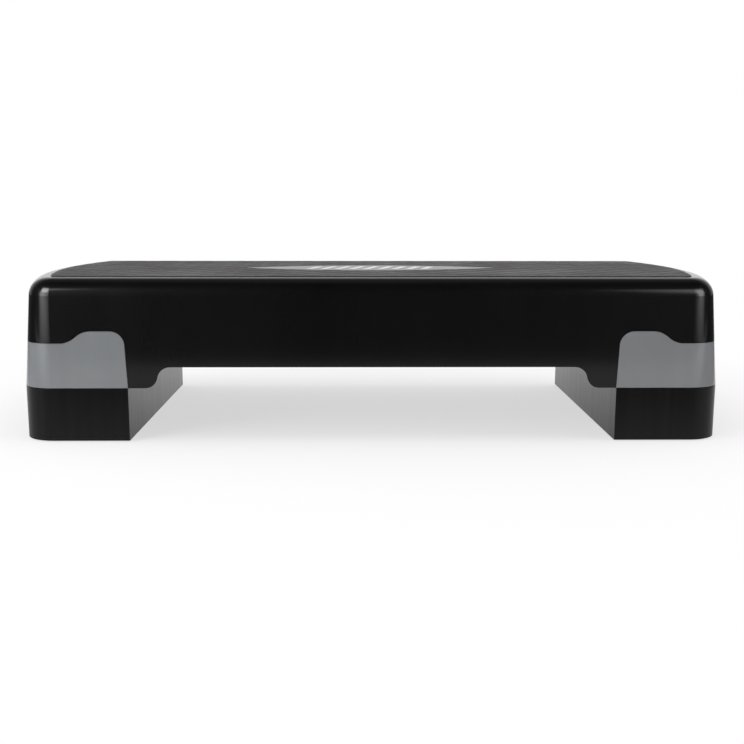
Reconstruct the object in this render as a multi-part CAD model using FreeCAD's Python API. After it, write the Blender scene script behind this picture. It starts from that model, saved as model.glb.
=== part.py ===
import FreeCAD
import Part
import math
import os

# Aerobic step: a ribbed deck on two grey end feet, standing on two lift-off riser blocks.
# Millimetres. Origin on the floor under the middle of the deck, X along the deck, front at -Y, Z up.

Vector = FreeCAD.Vector

# Platform outline, measured at its lower rim
platform_length = 680.0
platform_width = 280.0
platform_height = 100.0
end_arc_radius = 400.0
corner_radius = 31.0
draft_degrees = 4.5

# Deck shell
skirt_wall = 3.0
top_thickness = 3.0
top_edge_radius = 17.0
arch_height = 19.0
arch_foot_reach = 207.2
arch_bend_run = 22.4
rib_thickness = 2.2
cavity_chamfer_share = 0.7
rib_depth = 24.0
cross_rib_spacing = 74.0
long_rib_spacing = 66.0
bulkhead_thickness = 2.6

# Tread mat, its tray in the deck and the badge on it
tray_rim = 1.6
mat_gap = 0.5
mat_base = 1.6
tread_height = 1.0
tread_cell_length = 38.0
tread_cell_width = 27.0
tread_groove = 3.0
mat_border = 3.0
least_cell_share = 0.4
whole_cell_share = 0.9999
badge_length = 256.0
badge_width = 70.0
badge_thickness = 1.5
badge_recess = 0.5
badge_gap = 0.2
badge_border = 4.0

# Grey end feet
foot_length = 117.0
foot_wall = 2.8
foot_band_height = 40.5
tab_height = 51.5
tab_corner_radius = 13.5
tab_flat = 17.0
tab_bend_run = 28.0
seam_lean = 2.4
seam_gap = 0.2
shelf_height = 28.0
shelf_thickness = 2.6
shelf_width = 15.0
inner_wall_rise = 4.0

# Self-tapping screws of the end feet
screw_radius = 1.5
screw_length = 14.0
screw_head_across = 5.5
screw_head_height = 2.4
screw_hole_clearance = 0.3
pilot_clearance = 0.05
boss_width = 9.2
inner_screw_reach = 92.0
screw_sides = 8
screw_head_sides = 6

# Riser blocks
riser_height = 50.0
riser_wall = 2.6
riser_floor = 3.2
shoulder_thickness = 2.6
collar_height = 12.0
collar_wall = 2.4
collar_lead = 0.8
collar_clearance = 0.4
riser_rib_thickness = 2.2
riser_rib_reach = 53.0
riser_cross_spacing = 70.0
riser_boss_radius = 9.0
riser_boss_wall = 2.4
riser_boss_sides = 12
riser_edge_chamfer = 0.8

# Rubber pads under the risers
rubber_length = 26.0
rubber_width = 14.0
rubber_thickness = 2.6
rubber_reach = 1.0
rubber_gap = 0.15
rubber_inner_inset = 20.0
rubber_outer_inset = 34.0
rubber_inner_reach = 116.0
rubber_outer_reach = 84.0

# One overrun for every cut, the smallest plan radius drawn as an arc, and how far a level edge may stray
overrun = 2.0
sharp_limit = 0.3
level_tolerance = 0.1

# Sizes that follow from those above
draft = math.tan(math.radians(draft_degrees))
half_width = platform_width / 2
end_center = platform_length / 2 - end_arc_radius
foot_inner = platform_length / 2 - foot_length
deck_height = platform_height - tread_height
tray_depth = mat_base
cavity_top = deck_height - tray_depth - top_thickness
rib_bottom = cavity_top - rib_depth
tray_inset = deck_height * draft + top_edge_radius + tray_rim
mat_inset = tray_inset + mat_gap
shelf_top = shelf_height + shelf_thickness
bulkhead_x = foot_inner - seam_gap - bulkhead_thickness / 2
cavity_chamfer = (top_edge_radius - skirt_wall) * cavity_chamfer_share
collar_inset = foot_wall + collar_height * draft + collar_clearance
collar_top = riser_height + collar_height
riser_rib_x = foot_inner + riser_rib_reach


def straight(start, end):
    return Part.LineSegment(start, end).toShape()


def arc(start, middle, end):
    return Part.Arc(start, middle, end).toShape()


def end_edges(inset, z, side):
    """Edges round one end, front to back, parallel to the lower rim and drawn in by inset."""
    corner = corner_radius - inset
    radius = end_arc_radius - inset
    width = half_width - inset
    tip = Vector(side * (end_center + radius), 0, z)
    corner_y = half_width - corner_radius
    corner_x = end_center + math.sqrt((end_arc_radius - corner_radius) ** 2 - corner_y ** 2)
    swing = math.atan2(corner_y, corner_x - end_center)
    if corner < sharp_limit:
        reach = end_center + math.sqrt(radius ** 2 - width ** 2)
        return [arc(Vector(side * reach, -width, z), tip, Vector(side * reach, width, z))]
    turn = (math.pi / 2 + swing) / 2
    tangent_x = end_center + radius * math.cos(swing)
    tangent_y = radius * math.sin(swing)
    bend_x = corner_x + corner * math.cos(turn)
    bend_y = corner_y + corner * math.sin(turn)
    front = arc(Vector(side * corner_x, -width, z), Vector(side * bend_x, -bend_y, z),
                Vector(side * tangent_x, -tangent_y, z))
    end = arc(Vector(side * tangent_x, -tangent_y, z), tip, Vector(side * tangent_x, tangent_y, z))
    back = arc(Vector(side * tangent_x, tangent_y, z), Vector(side * bend_x, bend_y, z),
               Vector(side * corner_x, width, z))
    return [front, end, back]


def first_point(edges):
    return edges[0].firstVertex(True).Point


def last_point(edges):
    return edges[-1].lastVertex(True).Point


def platform_wire(inset, z):
    """Closed plan outline of the whole platform."""
    right = end_edges(inset, z, 1)
    left = end_edges(inset, z, -1)
    front = straight(first_point(left), first_point(right))
    back = straight(last_point(right), last_point(left))
    return Part.Wire(Part.__sortEdges__([front] + right + [back] + left))


def end_wire(inset, z):
    """Closed D-shaped plan outline of the right-hand end, straight on its inner side."""
    edges = end_edges(inset, z, 1)
    front_in = Vector(foot_inner + inset, -(half_width - inset), z)
    back_in = Vector(foot_inner + inset, half_width - inset, z)
    front = straight(front_in, first_point(edges))
    back = straight(last_point(edges), back_in)
    inner = straight(back_in, front_in)
    return Part.Wire(Part.__sortEdges__([front] + edges + [back, inner]))


def prism(wire, height):
    return Part.Face(wire).extrude(Vector(0, 0, height))


def faceted_bar(x, y, z, radius, height, sides):
    """Upright bar with flat sides, for small round pieces and holes that repeat."""
    turns = [2 * math.pi * index / sides for index in range(sides + 1)]
    points = [Vector(x + radius * math.cos(turn), y + radius * math.sin(turn), z) for turn in turns]
    return prism(Part.makePolygon(points), height)


def drafted_block(inset, low, high):
    """Platform form between two heights above its rim, with leaning walls drawn in by inset."""
    lower = platform_wire(inset + low * draft, low)
    upper = platform_wire(inset + high * draft, high)
    return Part.makeLoft([lower, upper], True, True)


def level_edges(shape, z):
    return [edge for edge in shape.Edges if all(abs(v.Z - z) < level_tolerance for v in edge.Vertexes)]


def rounded_block(inset, low, high):
    """The same form with its upper edge rounded, parallel to the deck's outer edge."""
    block = drafted_block(inset, low, high)
    return block.makeFillet(top_edge_radius - inset, level_edges(block, high))


def deck_cavity():
    """Room inside the deck, with a bevel that leaves about one wall under the rounded top edge."""
    block = drafted_block(skirt_wall, -overrun, cavity_top)
    return block.makeChamfer(cavity_chamfer, level_edges(block, cavity_top))


def s_bend(start, end):
    """Two tangent arcs in the front plane, level at both ends."""
    run = end.x - start.x
    rise = end.z - start.z
    radius = (run ** 2 + rise ** 2) / (4 * abs(rise))
    sweep = 2 * math.atan2(abs(rise), abs(run))
    along = math.copysign(radius * math.sin(sweep / 2), run)
    up = math.copysign(radius * (1 - math.cos(sweep / 2)), rise)
    middle = (start + end) * (1 / 2)
    return [arc(start, start + Vector(along, 0, up), middle), arc(middle, end - Vector(along, 0, up), end)]


def across(edges):
    """Extrude a closed outline in the front plane right through the platform's width."""
    face = Part.Face(Part.Wire(edges))
    face.translate(Vector(0, -half_width - overrun, 0))
    return face.extrude(Vector(0, platform_width + 2 * overrun, 0))


def arch_cut():
    """Room under the skirt between the feet, with an S-bend down to each foot."""
    foot = arch_foot_reach
    top = arch_foot_reach - arch_bend_run
    low_left = Vector(-foot, 0, -overrun)
    low_right = Vector(foot, 0, -overrun)
    rim_left = Vector(-foot, 0, 0)
    rim_right = Vector(foot, 0, 0)
    top_left = Vector(-top, 0, arch_height)
    top_right = Vector(top, 0, arch_height)
    edges = [straight(low_right, low_left), straight(low_left, rim_left)]
    edges += s_bend(rim_left, top_left)
    edges += [straight(top_left, top_right)]
    edges += s_bend(top_right, rim_right)
    edges += [straight(rim_right, low_right)]
    return across(edges)


def foot_zone(grow):
    """Everything that lies on the end foot's side of the seam, seen from the front."""
    end = platform_length / 2 + overrun
    band = foot_band_height + grow
    top = tab_height + grow
    bend = tab_corner_radius + grow
    seam_top = foot_inner + seam_lean - grow
    slope = seam_lean / (tab_height - tab_corner_radius)
    low = Vector(foot_inner - grow - slope * overrun, 0, -overrun)
    corner_low = Vector(seam_top, 0, top - bend)
    corner_high = Vector(seam_top + bend, 0, top)
    half_turn = bend * (1 - math.cos(math.pi / 4))
    corner_mid = Vector(seam_top + half_turn, 0, top - half_turn)
    tab_end = Vector(foot_inner + seam_lean + tab_corner_radius + tab_flat, 0, top)
    band_start = Vector(tab_end.x + tab_bend_run, 0, band)
    band_end = Vector(end, 0, band)
    low_end = Vector(end, 0, -overrun)
    edges = [straight(low, corner_low), arc(corner_low, corner_mid, corner_high)]
    edges += [straight(corner_high, tab_end)]
    edges += s_bend(tab_end, band_start)
    edges += [straight(band_start, band_end), straight(band_end, low_end), straight(low_end, low)]
    return across(edges)


def mirrored(shape):
    return shape.mirror(Vector(0, 0, 0), Vector(1, 0, 0))


def both_ends(shape):
    return [shape, mirrored(shape)]


def screw_places():
    """Screw centres of the right-hand foot, on its inner shelf."""
    middle = foot_inner + foot_wall + shelf_width / 2
    return [(middle, -inner_screw_reach), (middle, inner_screw_reach)]


def rib_lines(spacing, span):
    """Places that part a span into equal bays of about the given spacing."""
    bays = max(round(span / spacing), 1)
    return [span * (index / bays - 1 / 2) for index in range(1, bays)]


def wall_across(x, thickness, low):
    box = Part.makeBox(thickness, platform_width, cavity_top + top_thickness / 2 - low)
    box.translate(Vector(x - thickness / 2, -half_width, low))
    return box


def wall_along(y, thickness, low):
    box = Part.makeBox(2 * bulkhead_x, thickness, cavity_top + top_thickness / 2 - low)
    box.translate(Vector(-bulkhead_x, y - thickness / 2, low))
    return box


def deck_ribs():
    """Rib grid between two bulkheads, and the square screw bosses that hang from the deck's underside."""
    inner_width = platform_width - 2 * (skirt_wall + cavity_top * draft)
    walls = [wall_across(x, rib_thickness, rib_bottom) for x in rib_lines(cross_rib_spacing, 2 * bulkhead_x)]
    walls += [wall_along(y, rib_thickness, rib_bottom) for y in rib_lines(long_rib_spacing, inner_width)]
    walls += [wall_across(side * bulkhead_x, bulkhead_thickness, 0) for side in (-1, 1)]
    boss_height = cavity_top + top_thickness / 2 - shelf_top
    for x, y in screw_places():
        boss = Part.makeBox(boss_width, boss_width, boss_height)
        boss.translate(Vector(x - boss_width / 2, y - boss_width / 2, shelf_top))
        walls += both_ends(boss)
    core = rounded_block(skirt_wall / 2, -overrun, cavity_top + top_thickness / 2)
    return walls[0].multiFuse(walls[1:]).common(core)


def deck_shell():
    outer = rounded_block(0, 0, deck_height)
    tray = prism(platform_wire(tray_inset, deck_height - tray_depth), tray_depth + overrun)
    shell = outer.cut([deck_cavity(), tray, arch_cut()])
    end_room = foot_zone(seam_gap).cut(drafted_block(skirt_wall + seam_gap, -overrun, cavity_top))
    shell = shell.fuse(deck_ribs()).cut(both_ends(end_room))
    pilots = []
    for x, y in screw_places():
        pilot = faceted_bar(x, y, shelf_top, screw_radius + pilot_clearance, screw_length, screw_sides)
        pilots += both_ends(pilot)
    return shell.cut(pilots).removeSplitter()


def end_foot():
    """Right-hand grey foot: outer wall, inner wall along the seam, and a shelf for the screws."""
    zone = foot_zone(0)
    wall = drafted_block(0, 0, tab_height).common(zone)
    wall = wall.cut(drafted_block(foot_wall, -overrun, tab_height + overrun))
    inner_wall = zone.cut(zone.translated(Vector(foot_wall, 0, 0)))
    inner_wall = inner_wall.common(drafted_block(foot_wall / 2, 0, shelf_top + inner_wall_rise))
    shelf = Part.makeBox(shelf_width, platform_width, shelf_thickness)
    shelf.translate(Vector(foot_inner + foot_wall, -half_width, shelf_height))
    shelf = shelf.common(drafted_block(foot_wall / 2, -overrun, tab_height))
    hole_radius = screw_radius + screw_hole_clearance
    hole_height = shelf_thickness + 2 * overrun
    holes = [faceted_bar(x, y, shelf_height - overrun, hole_radius, hole_height, screw_sides)
             for x, y in screw_places()]
    return wall.fuse([inner_wall, shelf]).cut(holes).removeSplitter()


def foot_screws():
    """Hexagon-head screws driven up through the right-hand foot's shelf."""
    corner = screw_head_across / 2 / math.cos(math.pi / screw_head_sides)
    low = shelf_height - screw_head_height
    screws = []
    for x, y in screw_places():
        head = faceted_bar(x, y, low, corner, screw_head_height, screw_head_sides)
        shank = faceted_bar(x, y, shelf_height, screw_radius, screw_length, screw_sides)
        screws.append(head.fuse(shank).removeSplitter())
    return Part.makeCompound(screws)


def lens_wire(grow, z):
    """Pointed lens in plan, made of two equal arcs."""
    tip = badge_length / 2 + grow
    belly = badge_width / 2 + grow
    left = Vector(-tip, 0, z)
    right = Vector(tip, 0, z)
    return Part.Wire([arc(left, Vector(0, -belly, z), right), arc(right, Vector(0, belly, z), left)])


def lozenge(x, y, z, inset):
    """Diamond outline of one tread cell, drawn in by inset on all four sides."""
    diagonal = math.hypot(tread_cell_length, tread_cell_width)
    share = 1 - 2 * inset * diagonal / (tread_cell_length * tread_cell_width)
    along = Vector(tread_cell_length / 2 * share, 0, 0)
    aside = Vector(0, tread_cell_width / 2 * share, 0)
    center = Vector(x, y, z)
    points = [center - along, center - aside, center + along, center + aside]
    return Part.makePolygon(points + points[:1])


def tread_cells():
    """Centres of the diamond cells, in staggered rows that cover the mat."""
    rows = int(platform_width / tread_cell_width)
    columns = int(platform_length / 2 / tread_cell_length) + 1
    return [((column + (row % 2) / 2) * tread_cell_length, row * tread_cell_width / 2)
            for row in range(-rows, rows + 1) for column in range(-columns, columns + 1)]


def tread_diamonds(z):
    """Raised diamonds: whole ones slope to a shared groove, those at the border and badge stand upright."""
    room = Part.Face(platform_wire(mat_inset + mat_border, z))
    keep_out = Part.Face(lens_wire(badge_border, z))
    outlines = []
    skins = []
    for x, y in tread_cells():
        cell = lozenge(x, y, z, 0)
        face = Part.Face(cell)
        if face.common(room).cut(keep_out).Area > face.Area * whole_cell_share:
            top = lozenge(x, y, z + tread_height, tread_groove / 2)
            outlines.append(cell)
            skins += Part.makeLoft([cell, top], False, True).Faces + [Part.Face(top)]
            continue
        trimmed = Part.Face(lozenge(x, y, z, tread_groove / 2)).common(room).cut(keep_out)
        for piece in trimmed.Faces:
            if piece.Area > face.Area * least_cell_share:
                outlines.append(piece.OuterWire)
                skins += piece.OuterWire.extrude(Vector(0, 0, tread_height)).Faces
                skins.append(piece.translated(Vector(0, 0, tread_height)))
    return outlines, skins


def tread_mat():
    """Flat rubber sheet with a lens-shaped recess and raised diamonds, closed up face by face."""
    outlines, skins = tread_diamonds(deck_height)
    rim = platform_wire(mat_inset, deck_height)
    recess = lens_wire(badge_gap, deck_height)
    holes = [Part.Face(wire) for wire in outlines + [recess]]
    sheet = Part.Face(rim).cut(holes)
    underside = Part.Face(platform_wire(mat_inset, deck_height - mat_base))
    recess_floor = Part.Face(lens_wire(badge_gap, deck_height - badge_recess))
    skins += sheet.Faces + [underside, recess_floor]
    skins += rim.extrude(Vector(0, 0, -mat_base)).Faces
    skins += recess.extrude(Vector(0, 0, -badge_recess)).Faces
    shell = Part.makeShell(skins)
    shell.sewShape()
    return Part.makeSolid(shell)


def deck_badge():
    return prism(lens_wire(0, deck_height - badge_recess), badge_thickness)


def riser_block():
    """Right-hand riser: D-shaped tray with a shoulder, a locating collar, ribs and two hollow bosses."""
    low = rubber_reach
    block = prism(end_wire(0, low), riser_height - low)
    block = block.makeChamfer(riser_edge_chamfer, level_edges(block, riser_height))
    collar = prism(end_wire(collar_inset, riser_height), collar_height)
    collar = collar.makeChamfer(collar_lead, level_edges(collar, collar_top))
    floor = low + riser_floor
    room = prism(end_wire(riser_wall, floor), riser_height - shoulder_thickness - floor)
    mouth = prism(end_wire(collar_inset + collar_wall, floor), collar_top + overrun - floor)
    shell = block.fuse(collar).cut([room, mouth])
    rib_height = collar_top - floor + riser_floor / 2
    rib_low = floor - riser_floor / 2
    long_rib = Part.makeBox(riser_rib_thickness, platform_width, rib_height)
    long_rib.translate(Vector(riser_rib_x - riser_rib_thickness / 2, -half_width, rib_low))
    ribs = [long_rib]
    for step in (-1, 0, 1):
        rib = Part.makeBox(foot_length, riser_rib_thickness, rib_height)
        rib.translate(Vector(foot_inner, step * riser_cross_spacing - riser_rib_thickness / 2, rib_low))
        ribs.append(rib)
    bosses = []
    wells = []
    well_radius = riser_boss_radius - riser_boss_wall
    well_height = collar_top + overrun - floor
    for y in (-riser_cross_spacing, riser_cross_spacing):
        bosses.append(faceted_bar(riser_rib_x, y, rib_low, riser_boss_radius, rib_height, riser_boss_sides))
        wells.append(faceted_bar(riser_rib_x, y, floor, well_radius, well_height, riser_boss_sides))
    lower_core = prism(end_wire(riser_wall / 2, rib_low), riser_height - shoulder_thickness / 2 - rib_low)
    upper_core = prism(end_wire(collar_inset + collar_wall / 2, rib_low), rib_height)
    core = lower_core.fuse(upper_core)
    grid = ribs[0].multiFuse(ribs[1:] + bosses).common(core)
    cups = [prism(rubber_outline(x, y, low - overrun, rubber_gap), rubber_thickness - rubber_reach + overrun)
            for x, y in rubber_places()]
    return shell.fuse(grid).cut(wells + cups).removeSplitter()


def rubber_places():
    """Rubber pad centres under the right-hand riser."""
    inner_x = foot_inner + rubber_inner_inset
    outer_x = platform_length / 2 - rubber_outer_inset
    return [(x, side * y) for x, y in ((inner_x, rubber_inner_reach), (outer_x, rubber_outer_reach))
            for side in (-1, 1)]


def rubber_outline(x, y, z, grow):
    """Oblong with its long side along the riser's length."""
    wide = rubber_width / 2 + grow
    long = rubber_length / 2 + grow
    corners = [(-wide, -long), (wide, -long), (wide, long), (-wide, long)]
    points = [Vector(x + along, y + aside, z) for along, aside in corners]
    return Part.makePolygon(points + points[:1])


def riser_pads():
    outlines = [rubber_outline(x, y, 0, 0) for x, y in rubber_places()]
    return Part.makeCompound([prism(outline, rubber_thickness) for outline in outlines])


def raised(shape):
    """Platform pieces are drawn from their own rim, which sits on the risers' shoulders."""
    shape = shape.copy()
    shape.translate(Vector(0, 0, riser_height))
    return shape


def main():
    foot = raised(end_foot())
    screws = raised(foot_screws())
    block = riser_block()
    pads = riser_pads()
    pieces = {
        "deck_shell": raised(deck_shell()),
        "tread_mat": raised(tread_mat()),
        "deck_badge": raised(deck_badge()),
        "left_end_foot": mirrored(foot),
        "right_end_foot": foot,
        "left_foot_screws": mirrored(screws),
        "right_foot_screws": screws,
        "left_riser_block": mirrored(block),
        "right_riser_block": block,
        "left_riser_pads": mirrored(pads),
        "right_riser_pads": pads,
    }
    os.makedirs("parts", exist_ok=True)
    for name, shape in pieces.items():
        shape.exportStep("parts/" + name + ".step")
        print(name, len(shape.Solids), round(shape.Volume), shape.isValid())


main()
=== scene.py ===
import bmesh
import bpy
import math
from mathutils import Matrix, Vector


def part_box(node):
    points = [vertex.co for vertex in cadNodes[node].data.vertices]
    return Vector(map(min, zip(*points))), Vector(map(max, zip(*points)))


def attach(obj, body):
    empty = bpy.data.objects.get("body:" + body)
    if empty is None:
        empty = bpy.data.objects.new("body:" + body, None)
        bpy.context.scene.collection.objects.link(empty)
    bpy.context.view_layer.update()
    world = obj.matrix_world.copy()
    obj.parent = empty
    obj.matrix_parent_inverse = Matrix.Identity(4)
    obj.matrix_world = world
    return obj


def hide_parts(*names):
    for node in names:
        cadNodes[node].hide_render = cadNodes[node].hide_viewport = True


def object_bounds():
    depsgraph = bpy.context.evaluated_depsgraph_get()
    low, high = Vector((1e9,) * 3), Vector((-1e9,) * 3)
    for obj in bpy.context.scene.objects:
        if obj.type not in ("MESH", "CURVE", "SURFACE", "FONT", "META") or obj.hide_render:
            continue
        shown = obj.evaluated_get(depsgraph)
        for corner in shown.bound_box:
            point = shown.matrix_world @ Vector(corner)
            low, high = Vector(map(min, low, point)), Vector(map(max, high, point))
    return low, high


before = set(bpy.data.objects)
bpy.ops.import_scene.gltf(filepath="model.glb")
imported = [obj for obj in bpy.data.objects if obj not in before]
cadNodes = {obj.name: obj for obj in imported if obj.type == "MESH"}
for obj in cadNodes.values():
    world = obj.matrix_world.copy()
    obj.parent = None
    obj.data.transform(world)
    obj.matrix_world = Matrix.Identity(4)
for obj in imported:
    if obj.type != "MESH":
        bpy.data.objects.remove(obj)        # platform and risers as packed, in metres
cadLow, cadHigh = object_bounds()
print("frame loaded:", len(cadNodes), "nodes")


# Small helpers for node trees

pureWhite = (1, 1, 1, 1)
noiseSpan = (0.3, 0.7)          # most values of a noise lie between these
toneSpan = (0.35, 0.65)         # a little narrower, for clearer tones
edgeTurn = {"samples": 6, "turnFrom": 0.97, "turnTo": 0.75}      # how far an edge turns before it shows wear


def addNode(tree, kind, values=None, links=None, **settings):
    node = tree.nodes.new("ShaderNode" + kind)
    for key, value in settings.items():
        setattr(node, key, value)
    for key, value in (values or {}).items():
        node.inputs[key].default_value = value
    for key, socket in (links or {}).items():
        tree.links.new(socket, node.inputs[key])
    return node


def emptyTree(owner, outputKind):
    owner.use_nodes = True
    tree = owner.node_tree
    tree.nodes.clear()
    return tree, addNode(tree, outputKind)


def startMaterial(name):
    material = bpy.data.materials.new(name)
    tree, output = emptyTree(material, "OutputMaterial")
    shader = addNode(tree, "BsdfPrincipled")
    tree.links.new(shader.outputs["BSDF"], output.inputs["Surface"])
    return material, tree, shader


def objectPoint(tree, stretch=(1, 1, 1)):
    place = addNode(tree, "TexCoord")
    mapping = addNode(tree, "Mapping", {"Scale": stretch}, {"Vector": place.outputs["Object"]})
    return mapping.outputs["Vector"]


def noiseField(tree, scale, detail, stretch=(1, 1, 1)):
    noise = addNode(tree, "TexNoise", {"Scale": scale, "Detail": detail},
                    {"Vector": objectPoint(tree, stretch)})
    return noise.outputs["Fac"]


def remap(tree, socket, fromLow, fromHigh, toLow, toHigh):
    values = {"From Min": fromLow, "From Max": fromHigh, "To Min": toLow, "To Max": toHigh}
    return addNode(tree, "MapRange", values, {"Value": socket}).outputs["Result"]


def smoothRamp(tree, socket, fromLow, fromHigh):
    values = {"From Min": fromLow, "From Max": fromHigh}
    ramp = addNode(tree, "MapRange", values, {"Value": socket}, interpolation_type="SMOOTHSTEP")
    return ramp.outputs["Result"]


def calculate(tree, operation, first, second=0.0):
    node = addNode(tree, "Math", operation=operation)
    for index, entry in enumerate((first, second)):
        if isinstance(entry, (int, float)):
            node.inputs[index].default_value = entry
        else:
            tree.links.new(entry, node.inputs[index])
    return node.outputs["Value"]


def splitVector(tree, vector):
    return addNode(tree, "SeparateXYZ", links={"Vector": vector}).outputs


def colourRamp(tree, socket, stops):
    ramp = addNode(tree, "ValToRGB", links={"Fac": socket})
    elements = ramp.color_ramp.elements
    while len(elements) < len(stops):
        elements.new(0.5)        # between the two ends, and placed below
    for element, (position, colour) in zip(elements, stops):
        element.position = position
        element.color = (*colour, 1)
    return ramp.outputs["Color"]


def twoTone(tree, socket, span, first, second):
    return colourRamp(tree, socket, list(zip(span, (first, second))))


def mixColour(tree, factor, first, second):
    node = addNode(tree, "Mix", data_type="RGBA")
    tree.links.new(factor, node.inputs["Factor"])
    for key, entry in (("A", first), ("B", second)):
        socket = [s for s in node.inputs if s.name == key and s.type == "RGBA"][0]
        if isinstance(entry, tuple):
            socket.default_value = (*entry, 1)
        else:
            tree.links.new(entry, socket)
    return [s for s in node.outputs if s.type == "RGBA"][0]


def roundedNormal(tree, radius):
    # moulded and punched edges are never quite sharp
    return addNode(tree, "Bevel", {"Radius": radius}, samples=edgeTurn["samples"]).outputs["Normal"]


def edgeWear(tree, rounded):
    facing = addNode(tree, "NewGeometry").outputs["Normal"]
    dot = addNode(tree, "VectorMath", None, {0: rounded, 1: facing}, operation="DOT_PRODUCT")
    return remap(tree, dot.outputs["Value"], edgeTurn["turnFrom"], edgeTurn["turnTo"], 0.0, 1.0)


def bump(tree, height, strength, distance, normal=None):
    links = {"Height": height}
    if normal is not None:
        links["Normal"] = normal
    node = addNode(tree, "Bump", {"Strength": strength, "Distance": distance}, links)
    return node.outputs["Normal"]


# Moulded plastics

deckPlasticLook = {
    "dark": (0.0018, 0.0018, 0.0020), "light": (0.0032, 0.0032, 0.0035), "worn": (0.014, 0.014, 0.015),
    "specular": 0.09, "roughLow": 0.35, "roughHigh": 0.42, "edge": 0.0006, "skin": 0.70, "skinRough": 0.07,
    "grainScale": 2600.0, "grainDepth": 0.00004, "streak": (9, 9, 1.2), "streakShare": 0.35,
}
riserPlasticLook = {
    "dark": (0.0021, 0.0021, 0.0023), "light": (0.0050, 0.0050, 0.0053), "worn": (0.020, 0.020, 0.021),
    "specular": 0.12, "roughLow": 0.38, "roughHigh": 0.50, "edge": 0.0006, "skin": 0.56, "skinRough": 0.12,
    "grainScale": 2300.0, "grainDepth": 0.00005, "streak": (60, 60, 1.0), "streakShare": 0.7,
}
footPlasticLook = {
    "dark": (0.179, 0.188, 0.196), "light": (0.210, 0.219, 0.227), "worn": (0.31, 0.317, 0.325),
    "specular": 0.1, "roughLow": 0.34, "roughHigh": 0.44, "edge": 0.0006, "skin": 1.0, "skinRough": 0.06,
    "grainScale": 2400.0, "grainDepth": 0.00005, "streak": (14, 14, 1.5), "streakShare": 0.3,
}
mouldMarks = {      # what moulding and use leave on all three
    "cloudScale": 7.0, "cloudDetail": 4.0, "streakScale": 4.0, "streakDetail": 5.0, "toneSpan": (0.32, 0.68),
    "scuffScale": 90.0, "scuffDetail": 4.0, "scuffFrom": 0.45, "scuffTo": 0.70, "scuffMost": 0.7,
    "scuffRough": 0.15, "flowStrength": 0.12, "flowDepth": 0.0003, "grainDetail": 2.0, "grainStrength": 0.35,
}


def mouldedPlastic(name, look):
    marks = mouldMarks
    material, tree, shader = startMaterial(name)
    rounded = roundedNormal(tree, look["edge"])
    cloud = noiseField(tree, marks["cloudScale"], marks["cloudDetail"])
    streak = noiseField(tree, marks["streakScale"], marks["streakDetail"], look["streak"])
    tone = calculate(tree, "ADD", calculate(tree, "MULTIPLY", cloud, 1 - look["streakShare"]),
                     calculate(tree, "MULTIPLY", streak, look["streakShare"]))
    body = twoTone(tree, tone, marks["toneSpan"], look["dark"], look["light"])
    patches = noiseField(tree, marks["scuffScale"], marks["scuffDetail"])
    spread = remap(tree, patches, marks["scuffFrom"], marks["scuffTo"], 0.0, marks["scuffMost"])
    scuff = calculate(tree, "MULTIPLY", edgeWear(tree, rounded), spread)
    tree.links.new(mixColour(tree, scuff, body, look["worn"]), shader.inputs["Base Color"])
    gloss = remap(tree, tone, *noiseSpan, look["roughLow"], look["roughHigh"])
    wearAndHighlight = calculate(tree, "MULTIPLY", scuff, marks["scuffRough"])
    tree.links.new(calculate(tree, "ADD", gloss, wearAndHighlight), shader.inputs["Roughness"])
    flow = bump(tree, streak, marks["flowStrength"], marks["flowDepth"], rounded)
    grain = noiseField(tree, look["grainScale"], marks["grainDetail"])
    grained = bump(tree, grain, marks["grainStrength"], look["grainDepth"], flow)
    tree.links.new(grained, shader.inputs["Normal"])
    shader.inputs["Specular IOR Level"].default_value = look["specular"]
    shader.inputs["Coat Weight"].default_value = look["skin"]        # the smooth skin left by the mould
    shader.inputs["Coat Roughness"].default_value = look["skinRough"]
    return material


# Rubber pads and plated screws

padRubberLook = {
    "dark": (0.014, 0.014, 0.014), "light": (0.026, 0.026, 0.026), "cloudScale": 60.0, "cloudDetail": 4.0,
    "specular": 0.3, "roughLow": 0.62, "roughHigh": 0.8,
    "pebbleScale": 1300.0, "pebbleDetail": 2.0, "pebbleStrength": 0.5, "pebbleDepth": 0.0001,
}


def padRubber(name, look):
    material, tree, shader = startMaterial(name)
    cloud = noiseField(tree, look["cloudScale"], look["cloudDetail"])
    body = twoTone(tree, cloud, noiseSpan, look["dark"], look["light"])
    tree.links.new(body, shader.inputs["Base Color"])
    gloss = remap(tree, cloud, *noiseSpan, look["roughLow"], look["roughHigh"])
    tree.links.new(gloss, shader.inputs["Roughness"])
    pebble = noiseField(tree, look["pebbleScale"], look["pebbleDetail"])
    pebbled = bump(tree, pebble, look["pebbleStrength"], look["pebbleDepth"])
    tree.links.new(pebbled, shader.inputs["Normal"])
    shader.inputs["Specular IOR Level"].default_value = look["specular"]
    return material


screwLook = {
    "low": (0.42, 0.42, 0.43), "high": (0.60, 0.60, 0.60), "dull": (0.20, 0.19, 0.18),
    "edge": 0.0003, "cloudScale": 400.0, "cloudDetail": 4.0, "roughLow": 0.28, "roughHigh": 0.5,
    "stainScale": 120.0, "stainDetail": 4.0, "stainFrom": 0.55, "stainTo": 0.75, "stainMost": 0.6,
    "grainStrength": 0.2, "grainDepth": 0.00005, "metallic": 1.0,
}


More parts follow.
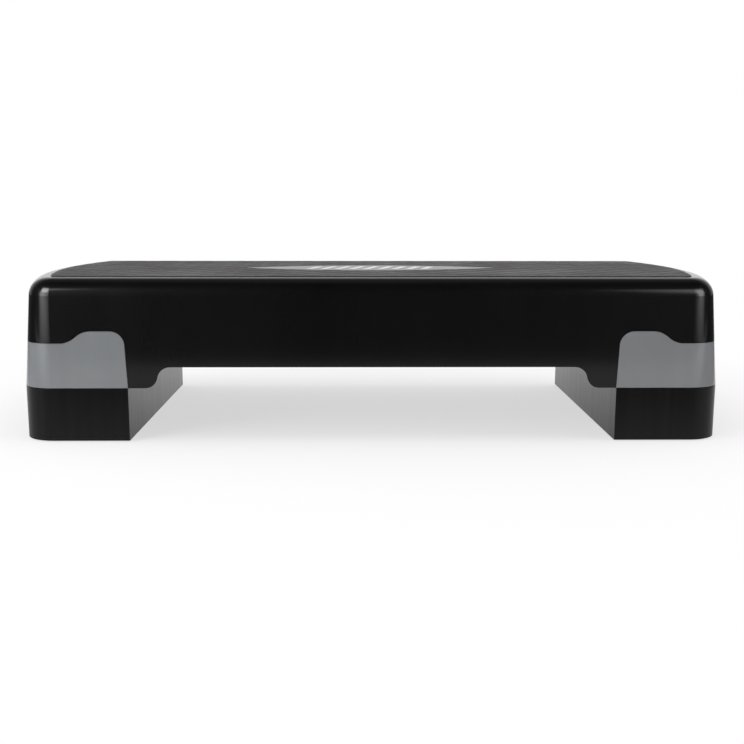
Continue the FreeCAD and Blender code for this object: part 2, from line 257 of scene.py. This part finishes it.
def platedSteel(name, look):
    material, tree, shader = startMaterial(name)
    rounded = roundedNormal(tree, look["edge"])
    cloud = noiseField(tree, look["cloudScale"], look["cloudDetail"])
    body = twoTone(tree, cloud, toneSpan, look["low"], look["high"])
    spots = noiseField(tree, look["stainScale"], look["stainDetail"])
    stain = remap(tree, spots, look["stainFrom"], look["stainTo"], 0.0, look["stainMost"])
    tree.links.new(mixColour(tree, stain, body, look["dull"]), shader.inputs["Base Color"])
    gloss = remap(tree, cloud, *noiseSpan, look["roughLow"], look["roughHigh"])
    tree.links.new(gloss, shader.inputs["Roughness"])
    grained = bump(tree, cloud, look["grainStrength"], look["grainDepth"], rounded)
    tree.links.new(grained, shader.inputs["Normal"])
    shader.inputs["Metallic"].default_value = look["metallic"]
    return material


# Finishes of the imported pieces; the right end takes those of the left

finishes = {
    "deck_shell": mouldedPlastic("deckPlastic", deckPlasticLook),
    "left_end_foot": mouldedPlastic("footPlastic", footPlasticLook),
    "left_riser_block": mouldedPlastic("riserPlastic", riserPlasticLook),
    "left_foot_screws": platedSteel("screwSteel", screwLook),
    "left_riser_pads": padRubber("padRubber", padRubberLook),
}


def finishPackedPieces():
    for name, node in cadNodes.items():
        twin = name.replace("right_", "left_")
        if twin in finishes:
            node.data.materials.clear()
            node.data.materials.append(finishes[twin])


finishPackedPieces()
print("packed pieces finished")


def meshPiece(name, bm, material, body, node=None, smooth=True):
    mesh = bpy.data.meshes.new(name)
    bmesh.ops.recalc_face_normals(bm, faces=bm.faces)
    bm.to_mesh(mesh)
    bm.free()
    for face in mesh.polygons:
        face.use_smooth = smooth
    piece = bpy.data.objects.new(name, mesh)
    bpy.context.scene.collection.objects.link(piece)
    mesh.materials.append(material)
    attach(piece, body)
    if node:
        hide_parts(node)
    return piece


# Tread mat: one rubber sheet whose flat diamonds stand between grooves

treadMat = {
    "cellLength": 0.038, "cellWidth": 0.027,      # diagonals of one diamond
    "grooveDepth": 0.0010, "crown": 0.00015,
    "profile": ((0.0, 0.0), (0.022, 0.10), (0.046, 0.74), (0.066, 0.95), (0.105, 1.0), (0.50, 1.0)),
    "rimWidth": 0.0006, "rimDrop": 0.0003,        # eased edge round the sheet and the badge
    "border": 0.0032, "borderFall": 0.0008,       # flat strip along the sheet's edge
    "endArcRadius": 0.400, "cornerRadius": 0.031, # of the platform's lower rim
    "badgeGap": 0.0002, "badgeBed": 0.00005, "edgeGap": 0.0007,
    "spareRows": 2, "cutSteps": 26, "weldDigits": 6,
}
treadRubberLook = {
    # the colour between groove and face is a painted highlight along the diamonds' edges, and it also colours
    # the painted glints
    "valley": (0.078, 0.073, 0.075), "wearAndHighlight": (0.175, 0.165, 0.169), "face": (0.053, 0.049, 0.051),
    "valleyTo": 0.05, "highlightAt": 0.45, "faceFrom": 0.82,                    # as shares of the groove's depth
    # faces that look sideways, such as the sheet's edge walls, take a darker painted shade
    "side": (0.026, 0.025, 0.025), "sideTo": 0.15, "levelFrom": 0.45,        # by how far a face looks up
    "specular": 0.17, "roughLow": 0.44, "roughHigh": 0.58,
    "cloudScale": 16.0, "cloudDetail": 5.0, "cloudMiddle": 0.5, "cloudSway": 0.2,
    "speckScale": 700.0, "speckDetail": 2.0, "speckFrom": 0.60, "speckTo": 0.74, "speckMost": 0.25,
    "pebbleScale": 900.0, "pebbleStrength": 0.5, "pebbleDepth": 0.00009,
    "speckStrength": 0.25, "speckDepth": 0.00005,
}

matLow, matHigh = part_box("tread_mat")
badgeLow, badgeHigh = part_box("deck_badge")
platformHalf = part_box("right_end_foot")[1].x


def treadRubber(name, look, low, high):
    # the flat diamonds are dark; a paler painted highlight runs along their edges, the grooves between them
    # are paler, light flecks are painted glints, and faces that look sideways get a painted shade
    material, tree, shader = startMaterial(name)
    place = splitVector(tree, addNode(tree, "TexCoord").outputs["Object"])
    lift = remap(tree, place["Z"], low, high, 0.0, 1.0)
    cloud = noiseField(tree, look["cloudScale"], look["cloudDetail"])
    speck = noiseField(tree, look["speckScale"], look["speckDetail"])
    sway = calculate(tree, "SUBTRACT", cloud, look["cloudMiddle"])
    uneven = calculate(tree, "ADD", lift, calculate(tree, "MULTIPLY", sway, look["cloudSway"]))
    # pale grooves, a painted highlight part way up each diamond's edge, dark flat tops
    body = colourRamp(tree, uneven, [(look["valleyTo"], look["valley"]), (look["highlightAt"], look["wearAndHighlight"]),
                                     (look["faceFrom"], look["face"])])
    # light flecks in the highlight colour are painted glints
    paintedGlints = remap(tree, speck, look["speckFrom"], look["speckTo"], 0.0, look["speckMost"])
    glintedBody = mixColour(tree, paintedGlints, body, look["wearAndHighlight"])
    # faces that look sideways are darkened: a painted shade
    facing = splitVector(tree, addNode(tree, "NewGeometry").outputs["True Normal"])
    level = remap(tree, facing["Z"], look["sideTo"], look["levelFrom"], 0.0, 1.0)
    tree.links.new(mixColour(tree, level, look["side"], glintedBody), shader.inputs["Base Color"])
    gloss = remap(tree, cloud, *noiseSpan, look["roughLow"], look["roughHigh"])
    tree.links.new(gloss, shader.inputs["Roughness"])
    pebble = addNode(tree, "TexVoronoi", {"Scale": look["pebbleScale"]}, {"Vector": objectPoint(tree)})
    coarse = bump(tree, pebble.outputs["Distance"], look["pebbleStrength"], look["pebbleDepth"])
    fine = bump(tree, speck, look["speckStrength"], look["speckDepth"], coarse)
    tree.links.new(fine, shader.inputs["Normal"])
    shader.inputs["Specular IOR Level"].default_value = look["specular"]
    return material


def lensShape(halfLength, halfWidth):
    radius = (halfLength ** 2 + halfWidth ** 2) / (2 * halfWidth)
    return radius, radius - halfWidth             # arc radius, and how far its centre lies off the axis


def outsideLens(x, y, halfLength, halfWidth):
    radius, offset = lensShape(halfLength, halfWidth)
    return math.hypot(x, abs(y) + offset) - radius


def insideMat(x, y):
    inset = platformHalf - matHigh.x + treadMat["edgeGap"]
    side = matHigh.y - treadMat["edgeGap"] - abs(y)
    arcCentre = platformHalf - treadMat["endArcRadius"]
    end = treadMat["endArcRadius"] - inset - math.hypot(abs(x) - arcCentre, y)
    corner = treadMat["cornerRadius"] - inset
    if side < corner and end < corner:
        return corner - math.hypot(corner - side, corner - end)
    return min(side, end)


def clipPolygon(points, field, keepAbove):
    # keeps the part of a small polygon where the field is above, or below, zero
    kept = []
    values = [field(*point) if keepAbove else -field(*point) for point in points]
    for index, point in enumerate(points):
        following = (index + 1) % len(points)
        if values[index] >= 0:
            kept.append(point)
        if (values[index] >= 0) != (values[following] >= 0):
            low, high = (point, points[following]) if values[index] < 0 else (points[following], point)
            for _ in range(treadMat["cutSteps"]):
                middle = ((low[0] + high[0]) / 2, (low[1] + high[1]) / 2)
                value = field(*middle) if keepAbove else -field(*middle)
                low, high = (middle, high) if value < 0 else (low, middle)
            kept.append(high)
    return kept if len(kept) > 2 else []


def grooveShare(offset):
    # height of the tread between two groove lines, as a share of the groove's depth
    away = min(offset, 1 - offset)
    profile = treadMat["profile"]
    for (start, low), (end, high) in zip(profile, profile[1:]):
        if away <= end:
            return low + (high - low) * (away - start) / (end - start)
    return 1.0


def buildTreadMat():
    length, width = treadMat["cellLength"], treadMat["cellWidth"]
    cuts = [position for position, _ in treadMat["profile"]]
    cuts = cuts + [1 - position for position in reversed(cuts[:-1])]
    lensHalf = badgeHigh.x + treadMat["badgeGap"]
    lensWide = badgeHigh.y + treadMat["badgeGap"]

    def rimField(x, y):
        return insideMat(x, y) - treadMat["rimWidth"]

    def borderField(x, y):
        return insideMat(x, y) - treadMat["border"]

    def slopeField(x, y):
        return borderField(x, y) - treadMat["borderFall"]

    def axisField(x, y):
        return y

    def lensField(x, y):
        return outsideLens(x, y, lensHalf, lensWide)

    def lensRimField(x, y):
        return lensField(x, y) - treadMat["rimWidth"]

    def heightAt(x, y):
        u = (x / length + y / width + 0.5) % 1        # a diamond lies on the middle of the mat
        v = (x / length - y / width + 0.5) % 1
        strip = (treadMat["border"] + treadMat["borderFall"] - insideMat(x, y)) / treadMat["borderFall"]
        share = max(grooveShare(u) * grooveShare(v), min(max(strip, 0), 1))
        crown = treadMat["crown"] * (1 - 2 * ((u - 0.5) ** 2 + (v - 0.5) ** 2)) * share
        rim = min(insideMat(x, y), lensField(x, y)) / treadMat["rimWidth"]
        eased = treadMat["rimDrop"] * (1 - min(max(rim, 0), 1))
        return matHigh.z - treadMat["crown"] - treadMat["grooveDepth"] * (1 - share) + crown - eased

    bm = bmesh.new()
    found = {}

    def vertexAt(point):
        key = tuple(round(value, treadMat["weldDigits"]) for value in point)
        if key not in found:
            found[key] = bm.verts.new((*point, heightAt(*point)))
        return found[key]

    def addPatch(points):
        corners = []
        for point in points:
            corner = vertexAt(point)
            if corner not in corners:
                corners.append(corner)
        if len(corners) > 2 and not bm.faces.get(corners):
            bm.faces.new(corners)

    def addTread(whole):
        for behind in (True, False):      # halved along the badge, whose tips no single cut can follow
            patch = clipPolygon(whole, axisField, behind)
            patch = clipPolygon(patch, lensField, True)
            for field in (rimField, borderField, slopeField, lensRimField):
                addPatch(clipPolygon(patch, field, False))
                patch = clipPolygon(patch, field, True)
            addPatch(patch)

    reach = int(matHigh.x / length + matHigh.y / width) + treadMat["spareRows"]
    for row in range(-reach, reach):
        for column in range(-reach, reach):
            centreX = (row + column) * length / 2
            centreY = (row - column) * width / 2
            if abs(centreX) > matHigh.x + length or abs(centreY) > matHigh.y + width:
                continue
            for low, high in zip(cuts, cuts[1:]):
                for left, right in zip(cuts, cuts[1:]):
                    square = [(row + low, column + left), (row + high, column + left),
                              (row + high, column + right), (row + low, column + right)]
                    patch = [((u + v - 1) * length / 2, (u - v) * width / 2) for u, v in square]
                    addTread(clipPolygon(patch, insideMat, True))

    # walls go down from the outline and from the badge's opening, then both are closed
    rims = [edge for edge in bm.edges if edge.is_boundary]
    skirt = bmesh.ops.extrude_edge_only(bm, edges=rims)["geom"]
    lowered = [item for item in skirt if isinstance(item, bmesh.types.BMVert)]
    for vertex in lowered:
        nearBadge = lensField(vertex.co.x, vertex.co.y) < treadMat["rimWidth"] / 2
        vertex.co.z = badgeLow.z - treadMat["badgeBed"] if nearBadge else matLow.z
    bmesh.ops.holes_fill(bm, edges=[edge for edge in bm.edges if edge.is_boundary], sides=0)
    material = treadRubber("treadRubber", treadRubberLook, matHigh.z - treadMat["grooveDepth"], matHigh.z)
    piece = meshPiece("treadMat", bm, material, "platform", "tread_mat")
    print("tread mat:", len(piece.data.polygons), "faces")


buildTreadMat()


# Badge: a plain silver lens with a stepped rim and a row of leaning bars

badgePlate = {
    "chamfer": 0.00018, "rim": 0.0016, "step": 0.00015, "slope": 0.0003, "arcPoints": 72,
    "barCount": 9, "barPitch": 0.0145, "barWidth": 0.0062, "barShare": 0.52, "barLean": 0.32,
    "barLift": 0.00022, "barEase": 0.0002, "barEaseFrom": 0.6,      # the bars' tops are eased
}
badgeLook = {
    "low": (0.32, 0.32, 0.325), "high": (0.42, 0.42, 0.425), "bright": (0.5, 0.5, 0.5), "brightShare": 0.6,
    "edge": 0.0003, "roughLow": 0.46, "roughHigh": 0.60, "metallic": 0.12, "specular": 0.22,
    "brush": (1, 60, 60), "brushScale": 30.0, "brushDetail": 6.0,      # fine lines along the plate
    "brushStrength": 0.15, "brushDepth": 0.00003, "cloudScale": 22.0, "cloudDetail": 3.0,
}
barLook = {
    "low": (0.70, 0.70, 0.705), "high": (0.84, 0.84, 0.845), "worn": (0.30, 0.30, 0.30), "edge": 0.0002,
    "cloudScale": 150.0, "cloudDetail": 4.0, "roughLow": 0.28, "roughHigh": 0.42,
    "wearScale": 800.0, "wearDetail": 3.0, "wearFrom": 0.45, "wearTo": 0.65, "wearMost": 0.6,
    "grainScale": 2500.0, "grainDetail": 2.0, "grainStrength": 0.2, "grainDepth": 0.00002,
}


def satinSilver(name, look):
    material, tree, shader = startMaterial(name)
    rounded = roundedNormal(tree, look["edge"])
    brush = noiseField(tree, look["brushScale"], look["brushDetail"], look["brush"])
    cloud = noiseField(tree, look["cloudScale"], look["cloudDetail"])
    body = twoTone(tree, brush, toneSpan, look["low"], look["high"])
    bright = calculate(tree, "MULTIPLY", edgeWear(tree, rounded), look["brightShare"])
    tree.links.new(mixColour(tree, bright, body, look["bright"]), shader.inputs["Base Color"])
    gloss = remap(tree, cloud, *noiseSpan, look["roughLow"], look["roughHigh"])
    tree.links.new(gloss, shader.inputs["Roughness"])
    brushed = bump(tree, brush, look["brushStrength"], look["brushDepth"], rounded)
    tree.links.new(brushed, shader.inputs["Normal"])
    shader.inputs["Metallic"].default_value = look["metallic"]
    shader.inputs["Specular IOR Level"].default_value = look["specular"]
    return material


def paleEnamel(name, look):
    material, tree, shader = startMaterial(name)
    rounded = roundedNormal(tree, look["edge"])
    cloud = noiseField(tree, look["cloudScale"], look["cloudDetail"])
    body = twoTone(tree, cloud, toneSpan, look["low"], look["high"])
    chips = noiseField(tree, look["wearScale"], look["wearDetail"])
    spread = remap(tree, chips, look["wearFrom"], look["wearTo"], 0.0, look["wearMost"])
    worn = calculate(tree, "MULTIPLY", edgeWear(tree, rounded), spread)
    tree.links.new(mixColour(tree, worn, body, look["worn"]), shader.inputs["Base Color"])
    gloss = remap(tree, cloud, *noiseSpan, look["roughLow"], look["roughHigh"])
    tree.links.new(gloss, shader.inputs["Roughness"])
    grain = noiseField(tree, look["grainScale"], look["grainDetail"])
    grained = bump(tree, grain, look["grainStrength"], look["grainDepth"], rounded)
    tree.links.new(grained, shader.inputs["Normal"])
    return material


def lensLoop(inset, count):
    radius, offset = lensShape(badgeHigh.x, badgeHigh.y)
    radius -= inset
    half = math.acos(offset / radius)
    upper = [half - 2 * half * index / count for index in range(count)]
    points = [(radius * math.sin(-turn), radius * math.cos(turn) - offset) for turn in upper]
    return points + [(-x, -y) for x, y in points]


def ringStack(bm, rings):
    loops = [[bm.verts.new((x, y, z)) for x, y in outline] for outline, z in rings]
    for lower, upper in zip(loops, loops[1:]):
        for index in range(len(lower)):
            following = (index + 1) % len(lower)
            bm.faces.new((lower[index], lower[following], upper[following], upper[index]))
    bm.faces.new(reversed(loops[0]))
    bm.faces.new(loops[-1])


def buildBadge():
    count = badgePlate["arcPoints"]
    top = badgeHigh.z
    rim = badgePlate["rim"]
    face = top - badgePlate["step"]
    rings = [
        (lensLoop(0, count), badgeLow.z),
        (lensLoop(0, count), top - badgePlate["chamfer"]),
        (lensLoop(badgePlate["chamfer"], count), top),
        (lensLoop(rim, count), top),
        (lensLoop(rim + badgePlate["slope"], count), face),
    ]
    bm = bmesh.new()
    ringStack(bm, rings)
    silver = satinSilver("badgeSilver", badgeLook)
    meshPiece("badgePlate", bm, silver, "platform", "deck_badge", smooth=False)


def buildBars():
    radius, offset = lensShape(badgeHigh.x, badgeHigh.y)
    face = badgeHigh.z - badgePlate["step"]
    lift = badgePlate["barLift"]
    levels = [(0, face - badgePlate["step"]), (0, face + lift * badgePlate["barEaseFrom"]),
              (badgePlate["barEase"], face + lift)]
    bm = bmesh.new()
    for index in range(badgePlate["barCount"]):
        middle = (index - (badgePlate["barCount"] - 1) / 2) * badgePlate["barPitch"]
        reach = (math.sqrt(radius ** 2 - middle ** 2) - offset) * badgePlate["barShare"]
        outlines = []
        for inset, z in levels:
            half = badgePlate["barWidth"] / 2 - inset
            tall = reach - inset
            lean = tall * badgePlate["barLean"]
            corners = [(middle - half - lean, -tall), (middle + half - lean, -tall),
                       (middle + half + lean, tall), (middle - half + lean, tall)]
            outlines.append((corners, z))
        ringStack(bm, outlines)
    enamel = paleEnamel("barEnamel", barLook)
    meshPiece("badgeBars", bm, enamel, "platform", None, smooth=False)


buildBadge()
buildBars()
print("badge built:", badgePlate["barCount"], "bars")


# Floor, light and camera

studio = {
    "floorHalf": 9.0, "floorColour": (0.92, 0.92, 0.92),
    "floorShape": (0.62, 1.1, 1), "clearFrom": 0.22, "clearTo": 0.55, "shadowShare": 0.37,
    "sheetHalf": 0.45, "sheetFlare": 0.5, "sheetEdge": 0.25, "sheetFront": 0.30, "sheetFade": 0.70,
    "nearFrom": -0.9, "nearTo": -1.3, "nearGlow": 0.66,
    "frontFill": 0.31, "sideFill": 0.71, "fillFrom": -0.9, "fillTo": 0.0,
    "roomGlow": 0.035, "backGlow": 1.0, "backFrom": 0.20, "backTo": 0.92,
    "ceilingFrom": 0.30, "ceilingTo": 0.75, "ceilingGlow": 0.12, "clothCore": 0.10,
}
lamps = {   # place, aim, width, height, watts, mirrored in the gloss
    "overheadBox": ((0.0, -0.25, 2.0), (0.0, 0.0, 0.10), 1.8, 1.4, 11.5, False),
    "frontBox": ((-1.45, -1.25, 0.70), (-0.1, 0.0, 0.10), 1.0, 1.0, 16.0, False),
    "leftSideBox": ((-1.60, -0.25, 0.60), (-0.3, 0.0, 0.08), 1.0, 0.8, 4.6, False),
    "rightSideBox": ((1.60, -0.25, 0.60), (0.3, 0.0, 0.08), 1.0, 0.8, 7.0, False),
    "rightTopBox": ((0.93, -1.19, 0.88), (0.25, -0.1, 0.14), 0.82, 0.95, 6.6, True),
    "leftTopBox": ((-1.05, -0.98, 0.95), (-0.3, -0.1, 0.14), 0.93, 0.86, 30.5, True),
    "leftBox": ((-1.06, -0.93, 0.44), (-0.2, 0.0, 0.10), 0.96, 0.92, 17.0, True),
    "rightBox": ((1.18, -0.87, 0.56), (0.2, 0.0, 0.10), 1.00, 1.18, 22.0, True),
}
photoCamera = {
    "place": (-0.0138, -1.0307, 0.2208), "pitch": 80.07, "yaw": -0.83, "roll": 0.09,
    "lens": 48.06, "sensor": 36.0,
}


def rayKinds(tree):
    # rays that see the white ground itself, and rays that see it in the gloss
    path = addNode(tree, "LightPath")
    shown = calculate(tree, "MAXIMUM", path.outputs["Is Camera Ray"], path.outputs["Is Transmission Ray"])
    return shown, path.outputs["Is Glossy Ray"]


def buildFloor():
    half = studio["floorHalf"]
    bm = bmesh.new()
    outline = ((-half, -half), (half, -half), (half, half), (-half, half))
    bm.faces.new([bm.verts.new((x, y, cadLow.z)) for x, y in outline])
    mesh = bpy.data.meshes.new("studioFloor")
    bm.to_mesh(mesh)
    bm.free()
    floor = bpy.data.objects.new("studioFloor", mesh)
    bpy.context.scene.collection.objects.link(floor)
    material = bpy.data.materials.new("paleFloor")
    tree, output = emptyTree(material, "OutputMaterial")
    place = splitVector(tree, addNode(tree, "TexCoord").outputs["Object"])
    shown, glossyRay = rayKinds(tree)
    # under the step the floor is painted, and keeps a share of its shadow
    flat = addNode(tree, "VectorMath", None, {"Vector": objectPoint(tree, studio["floorShape"])},
                   operation="LENGTH")
    far = smoothRamp(tree, flat.outputs["Value"], studio["clearFrom"], studio["clearTo"])
    cleared = remap(tree, far, 0.0, 1.0, 1 - studio["shadowShare"], 1.0)
    direct = calculate(tree, "MAXIMUM", calculate(tree, "MULTIPLY", shown, cleared), glossyRay)
    # a white sheet that widens to the back; the gloss shows the dimmer floor beside and before it
    across = calculate(tree, "ABSOLUTE", place["X"])
    along = calculate(tree, "MULTIPLY", calculate(tree, "ABSOLUTE", place["Y"]), studio["sheetFlare"])
    beside = calculate(tree, "SUBTRACT", across, calculate(tree, "ADD", along, studio["sheetHalf"]))
    before = calculate(tree, "SUBTRACT", studio["sheetFront"], place["Y"])
    faded = calculate(tree, "MULTIPLY", before, studio["sheetEdge"] / studio["sheetFade"])
    beyond = calculate(tree, "MAXIMUM", beside, faded)
    sheet = remap(tree, beyond, 0.0, studio["sheetEdge"], 1.0, 0.0)
    near = remap(tree, place["Y"], studio["nearTo"], studio["nearFrom"],
                 studio["nearGlow"], studio["roomGlow"])
    mirrored = calculate(tree, "MAXIMUM", near, remap(tree, sheet, 0.0, 1.0, studio["roomGlow"], 1.0))
    glow = calculate(tree, "MAXIMUM", shown, mirrored)
    paint = addNode(tree, "BsdfDiffuse", {"Color": (*studio["floorColour"], 1)})
    ground = addNode(tree, "Emission", {"Color": pureWhite}, {"Strength": glow})
    mixer = addNode(tree, "MixShader", None,
                    {0: direct, 1: paint.outputs["BSDF"], 2: ground.outputs["Emission"]})
    tree.links.new(mixer.outputs["Shader"], output.inputs["Surface"])
    mesh.materials.append(material)


def buildWorld():
    world = bpy.data.worlds.new("studioWorld")
    bpy.context.scene.world = world
    tree, output = emptyTree(world, "OutputWorld")
    shown, glossyRay = rayKinds(tree)
    place = addNode(tree, "TexCoord").outputs["Generated"]
    level = addNode(tree, "VectorMath", {1: (1, 1, 0)}, {0: place}, operation="MULTIPLY")
    heading = addNode(tree, "VectorMath", None, {0: level.outputs["Vector"]}, operation="NORMALIZE")
    turn = splitVector(tree, heading.outputs["Vector"])["Y"]
    height = splitVector(tree, place)["Z"]
    # in the gloss the room is white behind the step, and dim at its sides, before it and overhead
    depth = remap(tree, turn, studio["backFrom"], studio["backTo"], studio["roomGlow"], studio["backGlow"])
    ceiling = remap(tree, height, studio["ceilingFrom"], studio["ceilingTo"], 1.0, studio["ceilingGlow"])
    room = calculate(tree, "MULTIPLY", depth, ceiling)
    around = remap(tree, turn, studio["fillFrom"], studio["fillTo"], studio["frontFill"], studio["sideFill"])
    fill = calculate(tree, "MULTIPLY", calculate(tree, "SUBTRACT", 1.0, glossyRay), around)
    lit = calculate(tree, "ADD", fill, calculate(tree, "MULTIPLY", glossyRay, room))
    strength = calculate(tree, "MAXIMUM", shown, lit)
    background = addNode(tree, "Background", {"Color": pureWhite}, {"Strength": strength})
    tree.links.new(background.outputs["Background"], output.inputs["Surface"])


def softenBox(light):
    # brightest in the middle of its cloth, fading to the frame
    tree, output = emptyTree(light, "OutputLight")
    cloth = splitVector(tree, addNode(tree, "NewGeometry").outputs["Parametric"])
    half = 0.5        # from the middle of the cloth to its frame
    shares = []
    for axis in ("X", "Y"):
        away = calculate(tree, "ABSOLUTE", calculate(tree, "SUBTRACT", cloth[axis], half))
        shares.append(smoothRamp(tree, away, half, studio["clothCore"]))
    strength = calculate(tree, "MULTIPLY", *shares)
    glow = addNode(tree, "Emission", {"Color": pureWhite}, {"Strength": strength})
    tree.links.new(glow.outputs["Emission"], output.inputs["Surface"])


def buildLamps():
    for name, (place, aim, width, height, watts, mirrored) in lamps.items():
        light = bpy.data.lights.new(name, "AREA")
        light.shape = "RECTANGLE"
        light.size = width
        light.size_y = height
        light.energy = watts
        if mirrored:
            softenBox(light)
        lamp = bpy.data.objects.new(name, light)
        lamp.location = place
        lamp.rotation_euler = (Vector(aim) - Vector(place)).to_track_quat("-Z", "Y").to_euler()
        lamp.visible_glossy = mirrored        # the mirrored boxes only draw the highlights
        lamp.visible_diffuse = not mirrored
        bpy.context.scene.collection.objects.link(lamp)


def buildCamera():
    data = bpy.data.cameras.new("photoCamera")
    data.lens = photoCamera["lens"]
    data.sensor_width = photoCamera["sensor"]
    camera = bpy.data.objects.new("photoCamera", data)
    camera.location = photoCamera["place"]
    turn = Matrix.Rotation(math.radians(photoCamera["yaw"]), 3, "Z")
    tilt = Matrix.Rotation(math.radians(photoCamera["pitch"]), 3, "X")
    lean = Matrix.Rotation(math.radians(photoCamera["roll"]), 3, "Z")
    camera.rotation_euler = (turn @ tilt @ lean).to_euler()
    bpy.context.scene.collection.objects.link(camera)
    bpy.context.scene.camera = camera


buildFloor()
buildWorld()
buildLamps()
buildCamera()
bpy.context.scene.view_settings.view_transform = "Standard"
print("studio ready")
